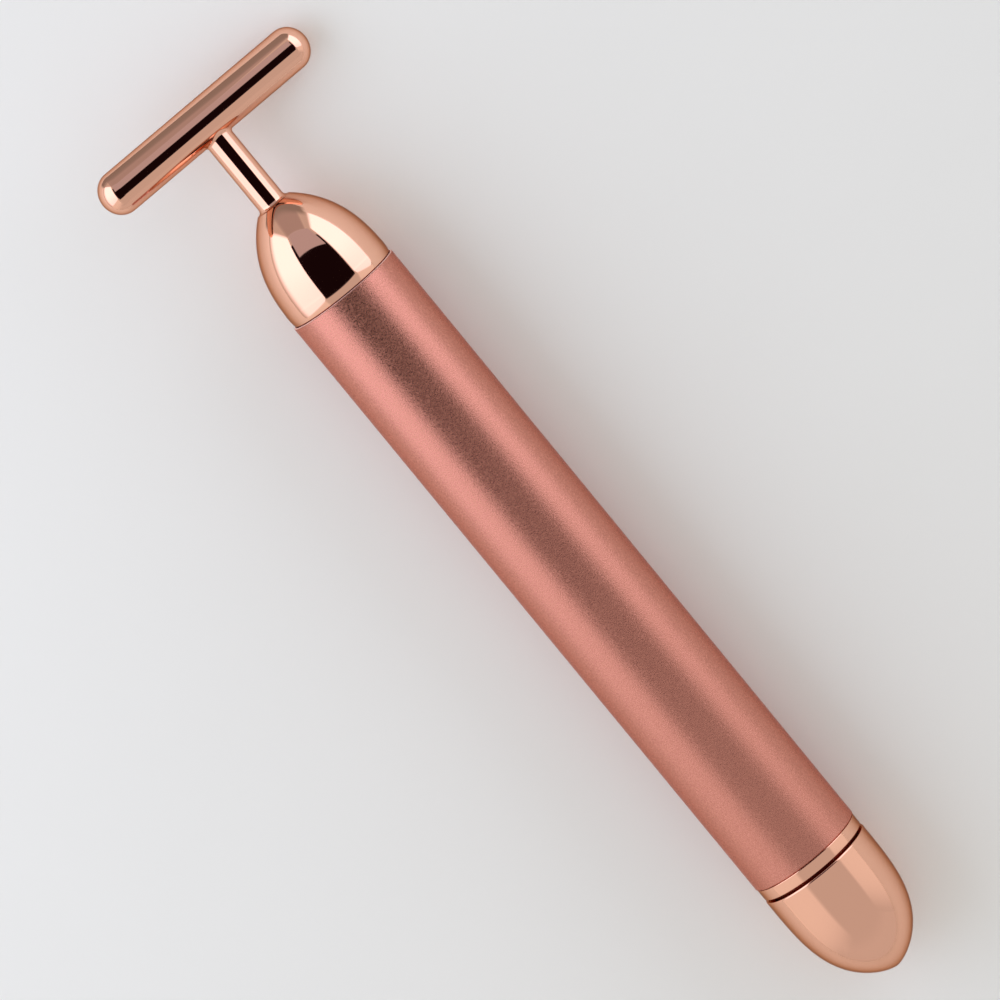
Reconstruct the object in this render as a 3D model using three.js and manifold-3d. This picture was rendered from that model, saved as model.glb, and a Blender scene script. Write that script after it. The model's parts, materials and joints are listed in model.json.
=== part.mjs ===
// A battery-powered facial sculpting massager, lying on a table.
//
// Sizes are in millimetres. Each piece is drawn about its own axis, local z, which runs from the
// tail cap towards the head; local z = 0 is the tail end of the handle tube. The whole object then
// lies down: +X runs towards the T-bar, +Z is up, and the origin is on the table under the middle
// of the object. The head is rolled until one end of its T-bar touches the table.
import * as THREE from "three";
import { mergeVertices } from "three/addons/utils/BufferGeometryUtils.js";
import Module from "manifold-3d";

const wasm = await Module();
wasm.setup();

// Fits
const slip = 0.08; // radial play of round pieces that turn or screw in each other
const snug = 0.05; // radial play of round pieces that are pressed, glued or screwed fast
const seat = 0.05; // gap between faces that rest on each other
const overrun = 0.5; // how far a cutter reaches past the face that it opens
const pinhole = 0.000001; // a radius smaller than this is on the axis

// Number of flat sides or straight steps that stand for a curve
const shellSides = 36;
const barSides = 32;
const smallSides = 20;
const wireSides = 6;
const leadSides = 8;
const noseSteps = 11;
const cavitySteps = 5;
const filletSteps = 4;

// One AA cell
const cell = {
  length: 50.4,
  radius: 7.15,
  play: 0.2,
  nubRadius: 2.75,
  nubHeight: 1,
  crimpWidth: 0.3,
  recess: 0.6,
  plateRadius: 6,
  plateStandsOut: 0.2,
};

// Handle tube, and the plastic sleeve that keeps the cell off it
const liner = { wall: 0.4, play: 0.1, fromSocket: 0.5, pastCell: 1.6 };
const tube = { wall: 0.9, socketStep: 0.3, edge: 0.15 };

// Tail: a threaded ring pressed into the tube, and a cap glued to a core that screws into it
const ring = { band: 1.75, step: 0.1, wall: 0.65, spigot: 7.5, relief: 0.5, edge: 0.12 };
const groove = 0.45; // between the ring and the cap when the massager is off
const cap = { length: 19, wall: 1.4, bulge: 3.57, taper: 1.455 };
const core = { reach: 6.5, pocket: 4.5, floor: 3.2, hold: 6.6, skirtWall: 1.5 };
const tailSeal = { cord: 0.86, depth: 0.9, width: 1.1, fromRim: 0.3 };

// Contact spring, its plate and the screw that holds the plate
const springPlate = { radius: 5.9, thickness: 0.4 };
const plateScrew = { radius: 0.95, length: 2.3, headRadius: 1.9, headHeight: 0.8 };
const spring = { wire: 0.7, height: 9.5, footRadius: 5.1, tipRadius: 2.2 };
const springTurns = 5;
const stepsPerTurn = 16;

// Contact board at the rear of the motor housing
const contact = { radius: 2.2, height: 1.9, stemRadius: 0.95, peen: 0.6 };
const board = { play: 0.25, thickness: 1.5, padCircle: 4.6 };
const boardScrew = { radius: 0.8, length: 5, headRadius: 1.5, headHeight: 1.1 };
const boss = { radius: 1.9, length: 7, sunk: 0.3 };

// Motor housing and its seals
const bay = { length: 18.4, wall: 1.1 };
const housing = { play: 0.15, frontWall: 1.5, sunk: 0.1, thread: 6, relief: 0.6, neckWall: 1.15 };
const headSeal = { cord: 0.8, depth: 0.78, width: 1.1, fromThread: 2.2 };
const groundSpring = { width: 2, thickness: 0.4, standsOut: 0.07, fromRear: 2 };
const groundSpringGapTurn = 0.6; // radians
const gasket = { thickness: 0.09, width: 0.33 };

// Motor, its shaft, and the weight that makes it shake
const motor = { radius: 6, length: 16.3, capRadius: 5.6, capLength: 2.2, screwCircle: 3.9 };
const bearing = { radius: 2, length: 1.65 };
const shaft = { radius: 0.75, intoCap: 1.5, pastWeight: 0.3 };
const weight = { radius: 4.8, hubRadius: 1.6, clearance: 0.5, endPlay: 1.05 };
const motorScrew = { radius: 0.75, length: 2.6, headRadius: 1.45, headHeight: 0.7 };
const terminal = { width: 2.2, thickness: 0.5, length: 3, circle: 3.6 };
const lead = { radius: 0.42, belly: 1.1 };
const leadSteps = 14;

// Head
const seam = 0.15; // between the tube and the dome
const dome = {
  step: 0.17,
  reach: 17.05,
  wall: 1.3,
  socket: 4.5,
  socketWall: 1.38,
  ceilingRim: 0.6,
  bulge: 2.713,
  taper: 1.194,
};
const stem = { radius: 2.1, fillet: 0.7, threadRadius: 1.5, tipRadius: 1.25, tipLength: 4 };
const washer = { radius: 2.9, thickness: 0.6 };
const nut = { acrossFlats: 5.5, height: 2.4, threadPast: 0.6 };
const bar = { radius: 3.25, length: 37.2, endLength: 3, fromTube: 30.4, inset: 0.8 };

// Radii, from the cell outwards
const linerBore = cell.radius + cell.play;
const linerRadius = linerBore + liner.wall;
const tubeBore = linerRadius + liner.play;
const tubeRadius = tubeBore + tube.wall;
const socketRadius = tubeBore + tube.socketStep;
const ringRadius = tubeRadius - ring.step;
const ringSpigotRadius = socketRadius - snug;
const ringBore = ringSpigotRadius - ring.wall;
const coreRadius = ringBore - slip;
const tailGrooveRadius = coreRadius - tailSeal.depth;
const housingRadius = tubeBore - housing.play;
const threadRadius = socketRadius - slip;
const bayRadius = housingRadius - bay.wall;
const bossCircle = bayRadius + boss.sunk - boss.radius;
const motorBore = motor.radius + snug;
const domeRadius = tubeRadius - dome.step;
const domeSocketRadius = domeRadius - dome.socketWall;
const neckRadius = domeSocketRadius - snug;
const flareRadius = stem.radius + stem.fillet;

// The two bullet-shaped ends, outside and inside
const domeOutside = nose(domeRadius, dome.reach, dome);
const domeInside = nose(domeRadius - dome.wall, dome.reach - dome.wall, dome);
const capOutside = nose(tubeRadius, cap.length, cap);
const capInside = nose(tubeRadius - cap.wall, cap.length - cap.wall, cap);

// Places along the axis, from the tail towards the head
const ringTail = -seat - ring.band;
const capRim = ringTail - groove;
const tailTip = capRim - cap.length;
const coreFoot = capRim - core.hold;
const tailGrooveFoot = ringTail + tailSeal.fromRim;
const tailSocketFloor = ring.spigot + ring.relief;
const pocketFloor = core.reach - core.pocket;
const plateTop = pocketFloor + seat + springPlate.thickness;
const springFoot = plateTop + seat;
const cellFoot = springFoot + spring.height + seat;
const cellTop = cellFoot + cell.length;
const canFoot = cellFoot + cell.plateStandsOut;
const canTop = cellTop - cell.nubHeight - seat;
const contactFoot = cellTop + seat;
const boardRear = contactFoot + contact.height + seat;
const housingRear = boardRear + board.thickness + seat;
const motorRear = housingRear + bay.length;
const canRear = motorRear + motor.capLength + seat;
const wallRear = canRear + motor.length + seat;
const wallFront = wallRear + housing.frontWall;
const tubeHead = wallRear + housing.sunk;
const domeFoot = tubeHead + seam;
const neckTop = tubeHead + dome.socket - seat;
const threadFoot = domeFoot - seat - housing.thread;
const headSocketFloor = threadFoot - housing.relief;
const headGrooveTop = threadFoot - headSeal.fromThread;
const weightFoot = wallFront + seat + motorScrew.headHeight + weight.clearance;
const domeCeiling = tubeHead + domeInside.heightAt(washer.radius + dome.ceilingRim);
const nutTop = domeCeiling - seat - washer.thickness - seat;
const stemEnd = nutTop - nut.height - nut.threadPast;
const shaftTip = stemEnd - weight.endPlay;
const weightTop = shaftTip - shaft.pastWeight;
const domeTop = tubeHead + domeOutside.heightAt(flareRadius);
const barAxis = tubeHead + bar.fromTube;
const stemShoulder = barAxis - bar.radius + bar.inset - seat;
const headTip = barAxis + bar.radius;

// A bullet-shaped nose standing on z = 0: its radius shrinks from base to nothing at z = reach.
// A turn from 0 to a quarter circle runs along it from its base to its tip.
function nose(base, reach, { bulge, taper }) {
  const radiusAt = (turn) => base * Math.cos(turn) ** (2 / taper);
  const heightAt = (turn) => reach * Math.sin(turn) ** (2 / bulge);
  const turnOfHeight = (z) => Math.asin((z / reach) ** (bulge / 2));
  const turnOfRadius = (radius) => Math.acos((radius / base) ** (taper / 2));
  const between = (from, to, steps) =>
    Array.from({ length: steps + 1 }, (_, i) => {
      const turn = from + ((to - from) * i) / steps;
      return [radiusAt(turn), heightAt(turn)];
    });
  return {
    heightAt: (radius) => heightAt(turnOfRadius(radius)),
    toTip: (z, steps) => between(turnOfHeight(z), Math.PI / 2, steps),
    toHeight: (z, end, steps) => between(turnOfHeight(z), turnOfHeight(end), steps),
    toRadius: (z, end, steps) => between(turnOfHeight(z), turnOfRadius(end), steps),
  };
}

// Points of an arc round [radius, z], which starts and ends at the given angles
function arc(centreRadius, centreZ, width, height, from, to, steps) {
  return Array.from({ length: steps + 1 }, (_, i) => {
    const turn = from + ((to - from) * i) / steps;
    return [centreRadius + width * Math.cos(turn), centreZ + height * Math.sin(turn)];
  });
}

// A solid of revolution about local z, whose points are [radius, z]. They run up the outside and
// down the inside, from the axis to the axis or once round a ring. A flat side faces local -y.
function turned(points, sides) {
  const outline = points.map(([r, z]) => new THREE.Vector2(r > pinhole ? r : 0, z));
  if (outline[0].x > 0) outline.push(outline[0].clone());
  return new THREE.LatheGeometry(outline, sides, Math.PI / sides).rotateX(Math.PI / 2);
}

// A round rod or disc that stands on z = 0
function rod(radius, length, sides = smallSides) {
  return turned([[0, 0], [radius, 0], [radius, length], [0, length]], sides);
}

// A pipe or washer that stands on z = 0
function sleeve(radius, bore, length, sides = smallSides) {
  return turned([[radius, 0], [radius, length], [bore, length], [bore, 0]], sides);
}

// A screw with a flat head above z = 0 and its shank below
function screw({ radius, length, headRadius, headHeight }) {
  const outline = [
    [0, -length],
    [radius, -length],
    [radius, 0],
    [headRadius, 0],
    [headRadius, headHeight],
    [0, headHeight],
  ];
  return turned(outline, smallSides);
}

// A round cord closed into a ring about z = 0
function cordRing(outerRadius, cord) {
  const half = cord / 2;
  const section = arc(outerRadius - half, 0, half, half, 0, 2 * Math.PI, wireSides);
  return turned(section.slice(0, -1), barSides);
}

// A flat shape in the xy plane, given a length along z. An arc gets two sides a segment.
function extruded(shape, depth, sides = smallSides) {
  const options = { depth, bevelEnabled: false, curveSegments: sides / 2 };
  return new THREE.ExtrudeGeometry(shape, options);
}

// A wire or lead that follows a curve
function drawnAlong(curve, radius, sides, steps) {
  const section = new THREE.Shape();
  section.absarc(0, 0, radius, 0, 2 * Math.PI, false);
  const options = { steps, extrudePath: curve, bevelEnabled: false, curveSegments: sides / 2 };
  return new THREE.ExtrudeGeometry(section, options);
}

function toManifold(geometry) {
  const bare = new THREE.BufferGeometry();
  bare.setAttribute("position", geometry.getAttribute("position"));
  bare.setIndex(geometry.index);
  const merged = mergeVertices(bare);
  const corners = merged.index.array;
  const kept = [];
  for (let i = 0; i < corners.length; i += 3) {
    const [a, b, c] = corners.slice(i, i + 3);
    if (a !== b && b !== c && c !== a) kept.push(a, b, c);
  }
  const vertProperties = merged.getAttribute("position").array;
  const mesh = { numProp: 3, vertProperties, triVerts: new Uint32Array(kept) };
  return new wasm.Manifold(new wasm.Mesh(mesh));
}

function toGeometry(manifold) {
  const { numProp, vertProperties, triVerts } = manifold.getMesh();
  const geometry = new THREE.BufferGeometry();
  geometry.setAttribute("position", new THREE.BufferAttribute(vertProperties, numProp));
  geometry.setIndex(new THREE.BufferAttribute(triVerts, 1));
  geometry.computeVertexNormals();
  return geometry;
}

function cut(geometry, cutters) {
  return toGeometry(cutters.reduce((left, c) => left.subtract(toManifold(c)), toManifold(geometry)));
}

function join(geometry, others) {
  return toGeometry(others.reduce((all, next) => all.add(toManifold(next)), toManifold(geometry)));
}

// Finishes: colour, roughness, metalness
const finish = (color, roughness, metalness) =>
  new THREE.MeshStandardMaterial({ color, roughness, metalness });
const anodisedRose = finish(0xc08070, 0.45, 0.9);
const roseGold = finish(0xe2ae95, 0.08, 1);
const brass = finish(0xc9a15a, 0.3, 1);
const steel = finish(0xb4b6b8, 0.35, 1);
const whitePlastic = finish(0xe8e4dc, 0.5, 0);
const greyPlastic = finish(0x8a8c90, 0.5, 0);
const blackRubber = finish(0x1b1a1a, 0.7, 0);
const boardGreen = finish(0x1f5a38, 0.45, 0);
const cellLabel = finish(0x3f4650, 0.4, 0);
const redLead = finish(0xb3261e, 0.5, 0);
const blackLead = finish(0x202020, 0.5, 0);

function piece(name, geometry, material, z = 0, x = 0, y = 0) {
  const mesh = new THREE.Mesh(geometry, material);
  mesh.name = name;
  mesh.position.set(x, y, z);
  return mesh;
}

function groupOf(pieces) {
  const group = new THREE.Group();
  group.add(...pieces);
  return group;
}

// The tube is opened out at both ends, for the tail ring and for the head's thread.
function handleTube() {
  const outline = [
    [tubeRadius - tube.edge, 0],
    [tubeRadius, tube.edge],
    [tubeRadius, tubeHead - tube.edge],
    [tubeRadius - tube.edge, tubeHead],
    [socketRadius, tubeHead],
    [socketRadius, headSocketFloor],
    [tubeBore, headSocketFloor],
    [tubeBore, tailSocketFloor],
    [socketRadius, tailSocketFloor],
    [socketRadius, 0],
  ];
  return piece("handle_tube", turned(outline, shellSides), anodisedRose);
}

function batteryLiner() {
  const foot = tailSocketFloor + liner.fromSocket;
  const length = canTop + liner.pastCell - foot;
  const geometry = sleeve(linerRadius, linerBore, length, shellSides);
  return piece("battery_liner", geometry, whitePlastic, foot);
}

// The band shows between the tube and the cap, and the spigot inside the tube holds the thread.
function tailRing() {
  const top = ring.band + ring.spigot;
  const outline = [
    [ringRadius - ring.edge, 0],
    [ringRadius, ring.edge],
    [ringRadius, ring.band],
    [ringSpigotRadius, ring.band],
    [ringSpigotRadius, top],
    [ringBore, top],
    [ringBore, 0],
  ];
  return piece("tail_ring", turned(outline, shellSides), roseGold, ringTail);
}

// The can is the cell's plus side. Its crimped foot holds the minus plate in a seal.
function battery() {
  const canLength = canTop - canFoot;
  const recessRadius = cell.radius - cell.crimpWidth;
  const can = [
    [0, cell.recess],
    [recessRadius, cell.recess],
    [recessRadius, 0],
    [cell.radius, 0],
    [cell.radius, canLength],
    [0, canLength],
  ];
  const inset = cell.recess - seat;
  const seal = sleeve(recessRadius - snug, cell.plateRadius + snug, inset);
  const plate = rod(cell.plateRadius, cell.plateStandsOut + inset);
  return [
    piece("battery_can", turned(can, shellSides), cellLabel, canFoot),
    piece("battery_positive_cap", rod(cell.nubRadius, cell.nubHeight), steel, canTop + seat),
    piece("battery_negative_plate", plate, steel, cellFoot),
    piece("battery_seal", seal, blackRubber, canFoot),
  ];
}

// A hollow bullet, drawn with its tip up and then turned over. Its core is glued into its mouth.
function tailCap() {
  const mouth = coreRadius + snug;
  const depth = core.hold + seat;
  const outline = [
    ...capInside.toTip(depth, cavitySteps).reverse(),
    [mouth, depth],
    [mouth, 0],
    ...capOutside.toTip(0, noseSteps),
  ];
  const mesh = piece("tail_cap", turned(outline, shellSides), roseGold, capRim);
  mesh.rotation.x = Math.PI;
  return mesh;
}

// The core screws into the tail ring. The pocket in its top holds the contact spring.
function tailCore() {
  const skirtBore = coreRadius - core.skirtWall;
  const skirtCeiling = pocketFloor - core.floor;
  const pocketRadius = springPlate.radius + snug;
  const screwHole = plateScrew.radius + snug;
  const screwEnd = plateTop + seat - plateScrew.length - seat;
  const outline = [
    [0, skirtCeiling],
    [skirtBore, skirtCeiling],
    [skirtBore, coreFoot],
    [coreRadius, coreFoot],
    [coreRadius, tailGrooveFoot],
    [tailGrooveRadius, tailGrooveFoot],
    [tailGrooveRadius, tailGrooveFoot + tailSeal.width],
    [coreRadius, tailGrooveFoot + tailSeal.width],
    [coreRadius, core.reach],
    [pocketRadius, core.reach],
    [pocketRadius, pocketFloor],
    [screwHole, pocketFloor],
    [screwHole, screwEnd],
    [0, screwEnd],
  ];
  return piece("tail_core", turned(outline, barSides), brass);
}

function tailORing() {
  const middle = tailGrooveFoot + tailSeal.width / 2;
  return piece("tail_o_ring", cordRing(ringBore - snug, tailSeal.cord), blackRubber, middle);
}

// A conical spring of one wire, wide on its plate and narrow against the cell
class ConicalCoil extends THREE.Curve {
  getPoint(share, target = new THREE.Vector3()) {
    const turn = 2 * Math.PI * springTurns * share;
    const radius = THREE.MathUtils.lerp(spring.footRadius, spring.tipRadius, share);
    const z = THREE.MathUtils.lerp(spring.wire / 2, spring.height - spring.wire / 2, share);
    return target.set(radius * Math.cos(turn), radius * Math.sin(turn), z);
  }
}

function springPieces() {
  const coilSteps = springTurns * stepsPerTurn;
  const coil = drawnAlong(new ConicalCoil(), spring.wire / 2, wireSides, coilSteps);
  const plateHole = plateScrew.radius + snug;
  const plate = sleeve(springPlate.radius, plateHole, springPlate.thickness, barSides);
  return [
    piece("spring_plate", plate, brass, pocketFloor + seat),
    piece("plate_screw", screw(plateScrew), steel, plateTop + seat),
    piece("contact_spring", coil, steel, springFoot),
  ];
}

// The board carries the contact for the cell's nub, and the two leads start on it.
function boardPieces() {
  const radius = tubeBore - board.play;
  const screwHole = boardScrew.radius + snug;
  const holes = [-bossCircle, bossCircle].map((x) =>
    rod(screwHole, board.thickness + 2 * overrun).translate(x, 0, -overrun),
  );
  const disc = sleeve(radius, contact.stemRadius + snug, board.thickness, barSides);
  const stemLength = seat + board.thickness + contact.peen;
  const rivet = [
    [0, -contact.height],
    [contact.radius, -contact.height],
    [contact.radius, 0],
    [contact.stemRadius, 0],
    [contact.stemRadius, stemLength],
    [0, stemLength],
  ];
  const screws = [-bossCircle, bossCircle].map((x, i) => {
    const mesh = piece(`board_screw_${i + 1}`, screw(boardScrew), steel, boardRear - seat, x);
    mesh.rotation.x = Math.PI;
    return mesh;
  });
  return [
    piece("contact_board", cut(disc, holes), boardGreen, boardRear),
    piece("positive_contact", turned(rivet, smallSides), brass, boardRear - seat),
    ...screws,
  ];
}

// One moulding: a bay for the leads, a bore for the motor, and a neck glued into the dome.
// Its thread screws into the tube, behind a groove for the seal.
function motorHousing() {
  const springFloor = housingRadius + groundSpring.standsOut - groundSpring.thickness - snug;
  const springRear = housingRear + groundSpring.fromRear;
  const springFront = springRear + groundSpring.width + 2 * seat;
  const sealFloor = housingRadius - headSeal.depth;
  const recessRadius = neckRadius - housing.neckWall;
  const bearingHole = bearing.radius + snug;
  const outline = [
    [housingRadius, housingRear],
    [housingRadius, springRear],
    [springFloor, springRear],
    [springFloor, springFront],
    [housingRadius, springFront],
    [housingRadius, headGrooveTop - headSeal.width],
    [sealFloor, headGrooveTop - headSeal.width],
    [sealFloor, headGrooveTop],
    [housingRadius, headGrooveTop],
    [housingRadius, threadFoot],
    [threadRadius, threadFoot],
    [threadRadius, domeFoot - seat],
    [neckRadius, domeFoot - seat],
    [neckRadius, neckTop],
    [recessRadius, neckTop],
    [recessRadius, wallFront],
    [bearingHole, wallFront],
    [bearingHole, wallRear],
    [motorBore, wallRear],
    [motorBore, motorRear],
    [bayRadius, motorRear],
    [bayRadius, housingRear],
  ];
  const sides = [-1, 1];
  const bosses = sides.map((side) =>
    rod(boss.radius, boss.length).translate(side * bossCircle, 0, housingRear),
  );
  const pilotLength = boardScrew.length - board.thickness;
  const pilots = sides.map((side) =>
    rod(boardScrew.radius + snug, pilotLength + overrun)
      .translate(side * bossCircle, 0, housingRear - overrun),
  );
  const screwHoles = sides.map((side) =>
    rod(motorScrew.radius + snug, housing.frontWall + 2 * overrun)
      .translate(side * motor.screwCircle, 0, wallRear - overrun),
  );
  const shell = join(turned(outline, barSides), bosses);
  return piece("motor_housing", cut(shell, [...pilots, ...screwHoles]), greyPlastic);
}

function headSeals() {
  const gasketRadius = tubeRadius - tube.edge - snug;
  const washerRing = sleeve(gasketRadius, gasketRadius - gasket.width, gasket.thickness, shellSides);
  const gasketFoot = tubeHead + (seam - gasket.thickness) / 2;
  const middle = headGrooveTop - headSeal.width / 2;
  const cordGeometry = cordRing(tubeBore - snug, headSeal.cord);
  return {
    flat: piece("head_gasket", washerRing, blackRubber, gasketFoot),
    round: piece("head_o_ring", cordGeometry, blackRubber, middle),
  };
}

// A split brass ring in a groove of the housing, which presses on the tube's bare bore
function groundRing() {
  const outer = housingRadius + groundSpring.standsOut;
  const inner = outer - groundSpring.thickness;
  const half = groundSpringGapTurn / 2;
  const shape = new THREE.Shape();
  shape.absarc(0, 0, outer, half, 2 * Math.PI - half, false);
  shape.absarc(0, 0, inner, 2 * Math.PI - half, half, true);
  const geometry = extruded(shape, groundSpring.width, shellSides);
  return piece("ground_spring", geometry, brass, housingRear + groundSpring.fromRear + seat);
}

function motorPieces() {
  const shaftHole = shaft.radius + slip;
  const sides = [-1, 1];
  const tapped = motorScrew.length - housing.frontWall;
  const screwHoles = sides.map((side) =>
    rod(motorScrew.radius + snug, tapped + overrun)
      .translate(side * motor.screwCircle, 0, motor.length - tapped),
  );
  const can = sleeve(motor.radius, shaftHole, motor.length, barSides);
  const endCap = [
    [0, 0],
    [motor.capRadius, 0],
    [motor.capRadius, motor.capLength],
    [shaftHole, motor.capLength],
    [shaftHole, motor.capLength - shaft.intoCap - seat],
    [0, motor.capLength - shaft.intoCap - seat],
  ];
  const tab = new THREE.BoxGeometry(terminal.width, terminal.thickness, terminal.length);
  const tabMiddle = motorRear - seat - terminal.length / 2;
  return [
    piece("motor_can", cut(can, screwHoles), steel, canRear),
    piece("motor_end_cap", turned(endCap, barSides), whitePlastic, motorRear),
    piece("motor_bearing", sleeve(bearing.radius, shaftHole, bearing.length), brass, wallRear),
    ...sides.map((side, i) =>
      piece(`motor_terminal_${i + 1}`, tab, brass, tabMiddle, 0, side * terminal.circle),
    ),
    ...sides.map((side, i) => {
      const x = side * motor.screwCircle;
      return piece(`motor_screw_${i + 1}`, screw(motorScrew), steel, wallFront + seat, x);
    }),
  ];
}

// A lead from a motor terminal back to the board, with a little slack
class LeadRoute extends THREE.Curve {
  constructor(side) {
    super();
    this.side = side;
  }
  getPoint(share, target = new THREE.Vector3()) {
    const eased = THREE.MathUtils.smoothstep(share, 0, 1);
    const slack = lead.belly * Math.sin(Math.PI * share) ** 2;
    const away = THREE.MathUtils.lerp(terminal.circle, board.padCircle, eased) + slack;
    const start = motorRear - terminal.length - 2 * seat;
    return target.set(0, this.side * away, THREE.MathUtils.lerp(start, housingRear, share));
  }
}

function leads() {
  return [["lead_black", -1, blackLead], ["lead_red", 1, redLead]].map(([name, side, material]) => {
    const geometry = drawnAlong(new LeadRoute(side), lead.radius, leadSides, leadSteps);
    return piece(name, geometry, material);
  });
}

// The motor's shaft and the half-round weight on it, heavy side down
function rotorPieces(roll) {
  const foot = canRear - shaft.intoCap;
  const shape = new THREE.Shape();
  shape.absarc(0, 0, weight.radius, -Math.PI / 2, Math.PI / 2, false);
  shape.absarc(0, 0, weight.hubRadius, Math.PI / 2, (3 * Math.PI) / 2, false);
  const hole = new THREE.Path();
  hole.absarc(0, 0, shaft.radius + snug, 0, 2 * Math.PI, true);
  shape.holes.push(hole);
  const geometry = extruded(shape, weightTop - weightFoot);
  const lump = piece("eccentric_weight", geometry, steel, weightFoot);
  lump.rotation.z = -Math.PI / 2 - roll;
  return [piece("motor_shaft", rod(shaft.radius, shaftTip - foot), steel, foot), lump];
}

// A hollow bullet with a flat top for the stem and a hole for the stem's thread
function headDome() {
  const hole = stem.threadRadius + snug;
  const ceiling = domeCeiling - tubeHead;
  const outline = [
    ...domeOutside.toRadius(seam, flareRadius, noseSteps),
    [hole, domeTop - tubeHead],
    [hole, ceiling],
    ...domeInside.toHeight(dome.socket, ceiling, cavitySteps).reverse(),
    [domeSocketRadius, dome.socket],
    [domeSocketRadius, seam],
  ];
  return piece("head_dome", turned(outline, shellSides), roseGold, tubeHead);
}

// The stem flares where it stands on the dome. Its thread goes down through the dome to a nut,
// and its tip goes up into the bar.
function headStem() {
  const foot = domeTop + seat;
  const tipEnd = stemShoulder + stem.tipLength;
  const outline = [
    [0, stemEnd],
    [stem.threadRadius, stemEnd],
    [stem.threadRadius, foot],
    ...arc(flareRadius, foot + stem.fillet, stem.fillet, stem.fillet, -Math.PI / 2, -Math.PI, filletSteps),
    [stem.radius, stemShoulder],
    [stem.tipRadius, stemShoulder],
    [stem.tipRadius, tipEnd],
    [0, tipEnd],
  ];
  return piece("stem", turned(outline, barSides), roseGold);
}

function stemFastening() {
  const bore = stem.threadRadius + snug;
  const corner = nut.acrossFlats / 2 / Math.cos(Math.PI / 6);
  const hexagon = new THREE.Shape();
  for (let i = 0; i < 6; i++) {
    const turn = (Math.PI / 3) * i;
    const point = [corner * Math.cos(turn), corner * Math.sin(turn)];
    if (i === 0) hexagon.moveTo(...point);
    else hexagon.lineTo(...point);
  }
  const hole = new THREE.Path();
  hole.absarc(0, 0, bore, 0, 2 * Math.PI, true);
  hexagon.holes.push(hole);
  return [
    piece("stem_nut", extruded(hexagon, nut.height), brass, nutTop - nut.height),
    piece("stem_washer", sleeve(washer.radius, bore, washer.thickness), steel, nutTop + seat),
  ];
}

// A round bar with domed ends, drawn upright, laid across the stem and bored for it
function tBar() {
  const half = bar.length / 2;
  const straight = half - bar.endLength;
  const domedEnd = (sign) =>
    arc(0, sign * straight, bar.radius, bar.endLength, 0, (sign * Math.PI) / 2, filletSteps + 1);
  const outline = [...domedEnd(-1).reverse(), ...domedEnd(1)];
  const solid = turned(outline, barSides).rotateY(Math.PI / 2);
  const below = -bar.radius - overrun;
  const shoulder = bar.inset + overrun;
  const cutters = [
    rod(stem.radius + snug, shoulder).translate(0, 0, below),
    rod(stem.tipRadius + snug, shoulder + stem.tipLength).translate(0, 0, below),
  ];
  return piece("t_bar", cut(solid, cutters), roseGold, barAxis);
}

// How far the head is rolled so that the round end of its bar just touches the table
function rollToTable(height) {
  const across = bar.length / 2 - bar.endLength;
  const spread = across ** 2 - bar.endLength ** 2 + bar.radius ** 2;
  const lift = height * across;
  const rest = spread * (height ** 2 - bar.radius ** 2);
  return Math.asin((lift - Math.sqrt(lift ** 2 - rest)) / spread);
}

const restHeight = tubeRadius * Math.cos(Math.PI / shellSides);
const roll = rollToTable(restHeight);
const seals = headSeals();

const handle = groupOf([handleTube(), batteryLiner(), tailRing(), ...battery()]);
const tail = groupOf([tailCap(), tailCore(), tailORing(), ...springPieces()]);
const head = groupOf([
  headDome(),
  headStem(),
  ...stemFastening(),
  tBar(),
  motorHousing(),
  groundRing(),
  seals.flat,
  seals.round,
  ...boardPieces(),
  ...motorPieces(),
  ...leads(),
  ...rotorPieces(roll),
]);
head.rotation.z = roll;

// Lays the axis along +X: local x becomes +Y, local y becomes +Z and local z becomes +X.
const massager = groupOf([handle, tail, head]);
massager.rotation.set(Math.PI / 2, Math.PI / 2, 0);
massager.position.set(-(headTip + tailTip) / 2, 0, restHeight);

const part = groupOf([massager]);
export default part;
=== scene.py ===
"""Looks of the facial sculpting massager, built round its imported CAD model.

The massager lies on a table at z = 0, with its handle along X and its T-bar at the +X end. The
scene is in metres. Round pieces are drawn as outlines of (radius, place) in millimetres about the
handle's axis, where place 0 is the tail end of the handle tube, and are then laid along the handle.
"""

import json
import math

import bpy
from mathutils import Matrix, Vector

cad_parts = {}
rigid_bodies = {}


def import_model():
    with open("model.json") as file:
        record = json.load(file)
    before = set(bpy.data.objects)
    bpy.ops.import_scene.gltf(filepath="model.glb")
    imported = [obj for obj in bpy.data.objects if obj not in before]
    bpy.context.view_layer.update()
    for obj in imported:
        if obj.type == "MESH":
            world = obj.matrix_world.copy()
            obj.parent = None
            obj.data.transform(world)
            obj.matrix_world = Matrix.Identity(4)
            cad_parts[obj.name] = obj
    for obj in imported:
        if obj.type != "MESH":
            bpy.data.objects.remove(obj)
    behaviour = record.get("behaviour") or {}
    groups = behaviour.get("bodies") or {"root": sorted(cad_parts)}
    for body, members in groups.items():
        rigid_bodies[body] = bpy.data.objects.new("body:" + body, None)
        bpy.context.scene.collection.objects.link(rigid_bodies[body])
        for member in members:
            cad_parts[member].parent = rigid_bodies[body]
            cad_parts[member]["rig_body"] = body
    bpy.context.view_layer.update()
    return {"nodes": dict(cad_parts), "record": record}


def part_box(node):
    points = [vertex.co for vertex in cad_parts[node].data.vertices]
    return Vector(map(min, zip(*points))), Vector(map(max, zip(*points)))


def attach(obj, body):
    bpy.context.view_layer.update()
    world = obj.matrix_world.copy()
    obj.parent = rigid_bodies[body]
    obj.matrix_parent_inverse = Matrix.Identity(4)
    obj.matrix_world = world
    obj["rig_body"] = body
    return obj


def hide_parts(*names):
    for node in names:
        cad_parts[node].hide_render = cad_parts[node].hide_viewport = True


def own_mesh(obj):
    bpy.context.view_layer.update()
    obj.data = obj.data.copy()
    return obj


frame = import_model()
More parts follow.
